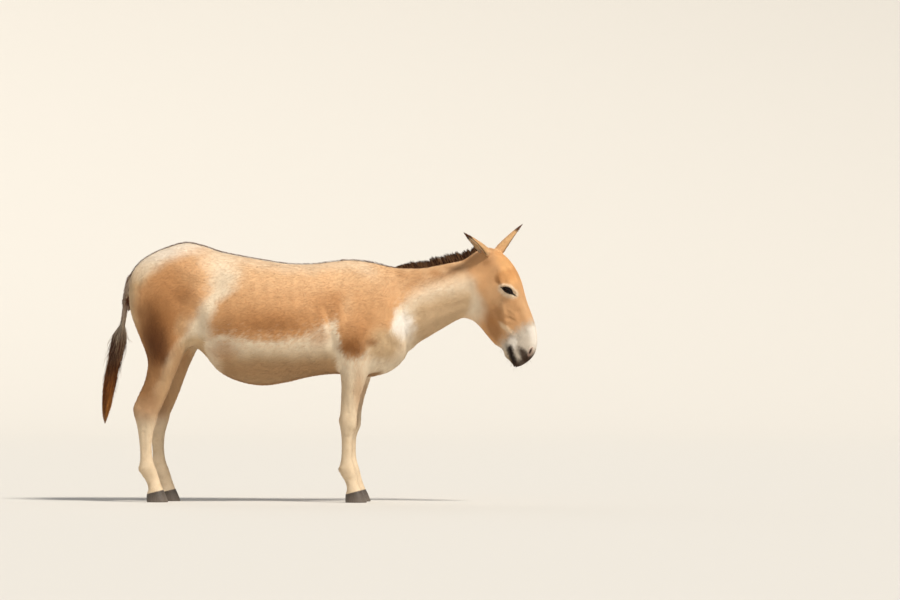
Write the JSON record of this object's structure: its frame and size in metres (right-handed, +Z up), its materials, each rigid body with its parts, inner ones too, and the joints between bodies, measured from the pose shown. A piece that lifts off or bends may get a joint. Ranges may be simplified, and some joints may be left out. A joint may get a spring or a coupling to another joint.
{
  "type": "onager",
  "caption": "Life-size still model of an onager, a wild ass, standing at ease with its head low, in a short tan and white summer coat with a dark upright mane.",
  "frame": {"origin": "on the floor under the middle of the animal's bounding box", "axes": "+X forwards to the nose, +Y to the animal's left, +Z up"},
  "size_m": [2.193, 0.5342, 1.3944],
  "materials": {
    "coat": "short sleek hair, tan above and cream below",
    "pale_coat": "short sleek cream hair",
    "long_hair": "coarse dark brown hair",
    "hoof": "satin dark horn",
    "eye": "wet and glossy, dark brown"
  },
  "bodies": {
    "root": {"trunk": "coat", "neck": "coat", "head": "coat", "ear_left": "coat", "ear_right": "coat", "forearm_left": "coat", "forearm_right": "coat", "thigh_left": "coat", "thigh_right": "coat", "fore_cannon_left": "pale_coat", "fore_cannon_right": "pale_coat", "hind_cannon_left": "pale_coat", "hind_cannon_right": "pale_coat", "fore_hoof_left": "hoof", "fore_hoof_right": "hoof", "hind_hoof_left": "hoof", "hind_hoof_right": "hoof", "eye_left": "eye", "eye_right": "eye", "mane": "long_hair", "tail": "coat", "tail_tuft": "long_hair"}
  },
  "joints": []
}
